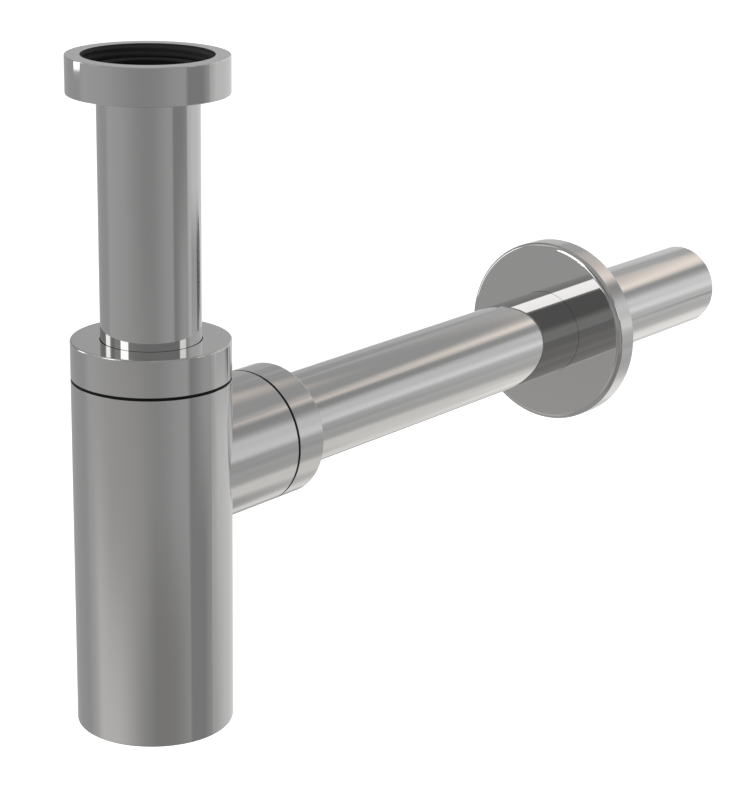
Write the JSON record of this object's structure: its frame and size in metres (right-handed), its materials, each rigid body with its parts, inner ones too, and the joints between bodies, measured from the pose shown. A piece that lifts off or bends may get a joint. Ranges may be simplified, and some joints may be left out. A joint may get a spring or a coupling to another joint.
{
  "type": "basin trap",
  "caption": "Chromed bottle trap for a basin: union nut and dip tube on top, cylindrical bottle with screwed cap, side branch, long wall pipe and round rosette.",
  "frame": {"origin": "centre of the inlet nut's mouth, where the basin waste screws in", "axes": "+Z out of the inlet nut's mouth along the bottle's axis, +Y along the outlet pipe towards the wall, +X completes a right-handed frame"},
  "size_m": [0.0696, 0.3428, 0.2187],
  "materials": {
    "polished_chrome": "polished",
    "black_rubber": "matte",
    "white_nylon": "satin",
    "bare_brass": "turned"
  },
  "bodies": {
    "trap_body": {"body_shell": "polished_chrome", "body_base": "polished_chrome", "body_neck": "bare_brass", "branch": "polished_chrome", "branch_neck": "bare_brass", "cap_seal": "black_rubber", "cap_gasket": "black_rubber", "outlet_seal": "black_rubber", "outlet_gasket": "black_rubber"},
    "cap_carrier": {"cap_slip_ring": "white_nylon"},
    "cap": {"body_cap": "polished_chrome"},
    "inlet": {"inlet_tube": "polished_chrome", "inlet_washer": "black_rubber"},
    "nut_carrier": {"inlet_slip_ring": "white_nylon"},
    "nut": {"inlet_nut": "polished_chrome"},
    "outlet_nut_carrier": {"outlet_slip_ring": "white_nylon"},
    "compression_nut": {"outlet_nut": "polished_chrome"},
    "wall_pipe": {"outlet_pipe": "polished_chrome"},
    "wall_plate": {"rosette": "polished_chrome", "rosette_grip_ring": "black_rubber"}
  },
  "joints": [
    {"name": "cap_turn", "type": "hinge", "parent": "trap_body", "child": "cap_carrier", "pos_m": [0, 0, -0.0955], "axis": [0, 0, 1], "range_deg": [0, 1260]},
    {"name": "cap_lift", "type": "slide", "parent": "cap_carrier", "child": "cap", "axis": [0, 0, 1], "range_m": [0, 0.007]},
    {"name": "inlet_tube_slide", "type": "slide", "parent": "trap_body", "child": "inlet", "axis": [0, 0, 1], "range_m": [-0.015, 0.025]},
    {"name": "inlet_nut_drop", "type": "slide", "parent": "inlet", "child": "nut_carrier", "axis": [0, 0, 1], "range_m": [-0.053, 0]},
    {"name": "inlet_nut_spin", "type": "hinge", "parent": "nut_carrier", "child": "nut", "pos_m": [0, 0, -0.006], "axis": [0, 0, 1], "continuous": true},
    {"name": "outlet_nut_turn", "type": "hinge", "parent": "trap_body", "child": "outlet_nut_carrier", "pos_m": [0, 0.0525, -0.1335], "axis": [0, 1, 0], "range_deg": [0, 1260]},
    {"name": "outlet_nut_travel", "type": "slide", "parent": "outlet_nut_carrier", "child": "compression_nut", "axis": [0, 1, 0], "range_m": [0, 0.00808]},
    {"name": "outlet_pipe_slide", "type": "slide", "parent": "trap_body", "child": "wall_pipe", "axis": [0, 1, 0], "range_m": [-0.008, 0.02]},
    {"name": "rosette_slide", "type": "slide", "parent": "wall_pipe", "child": "wall_plate", "axis": [0, 1, 0], "range_m": [-0.14, 0.087]}
  ],
  "couplings": [
    {"joint": "cap_lift", "follows": "cap_turn", "m_per_rad": 0.00031831},
    {"joint": "outlet_nut_travel", "follows": "outlet_nut_turn", "m_per_rad": 0.00036749}
  ]
}
